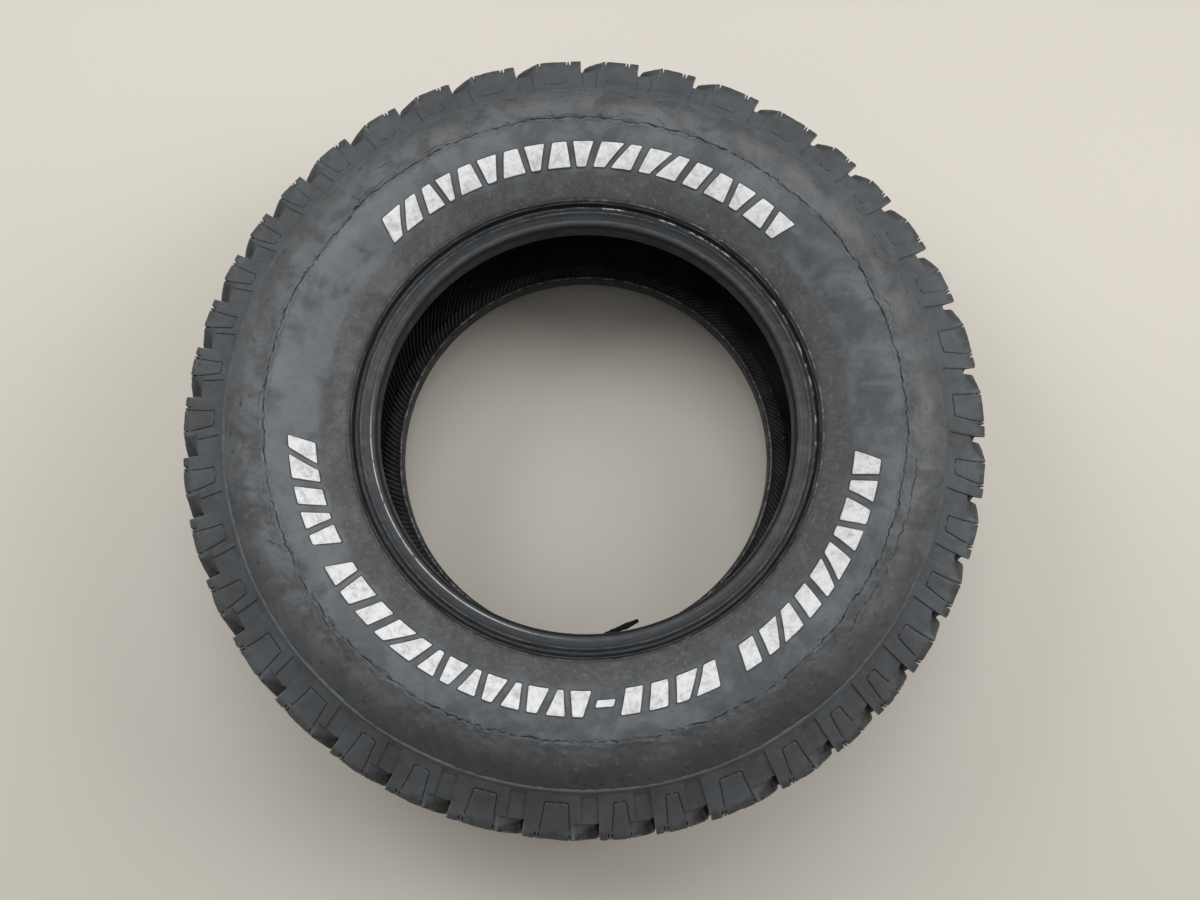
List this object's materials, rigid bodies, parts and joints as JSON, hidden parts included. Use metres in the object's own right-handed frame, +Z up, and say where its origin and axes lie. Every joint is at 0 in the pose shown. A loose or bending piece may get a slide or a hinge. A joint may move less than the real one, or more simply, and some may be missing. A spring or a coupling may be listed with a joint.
{
  "type": "tyre",
  "caption": "Worn light-truck tyre without a wheel, lying flat: two beads, bulged sidewalls with raised pale marks, and a treaded crown with worn shoulder lugs round an open cavity.",
  "frame": {"origin": "centre of the tyre's axis, on the floor that the lower sidewall lies on", "axes": "+Z up along the tyre's axis, out through the upper bead; X and Y across the tyre"},
  "size_m": [0.765, 0.765, 0.248],
  "materials": {
    "tyre": "dull weathered black rubber with bluish stains, brown dust near the bead and scuffs",
    "white_mark": "dirty, worn white rubber on the raised marks of the upper sidewall"
  },
  "bodies": {
    "root": {"tyre": "tyre"}
  },
  "joints": []
}
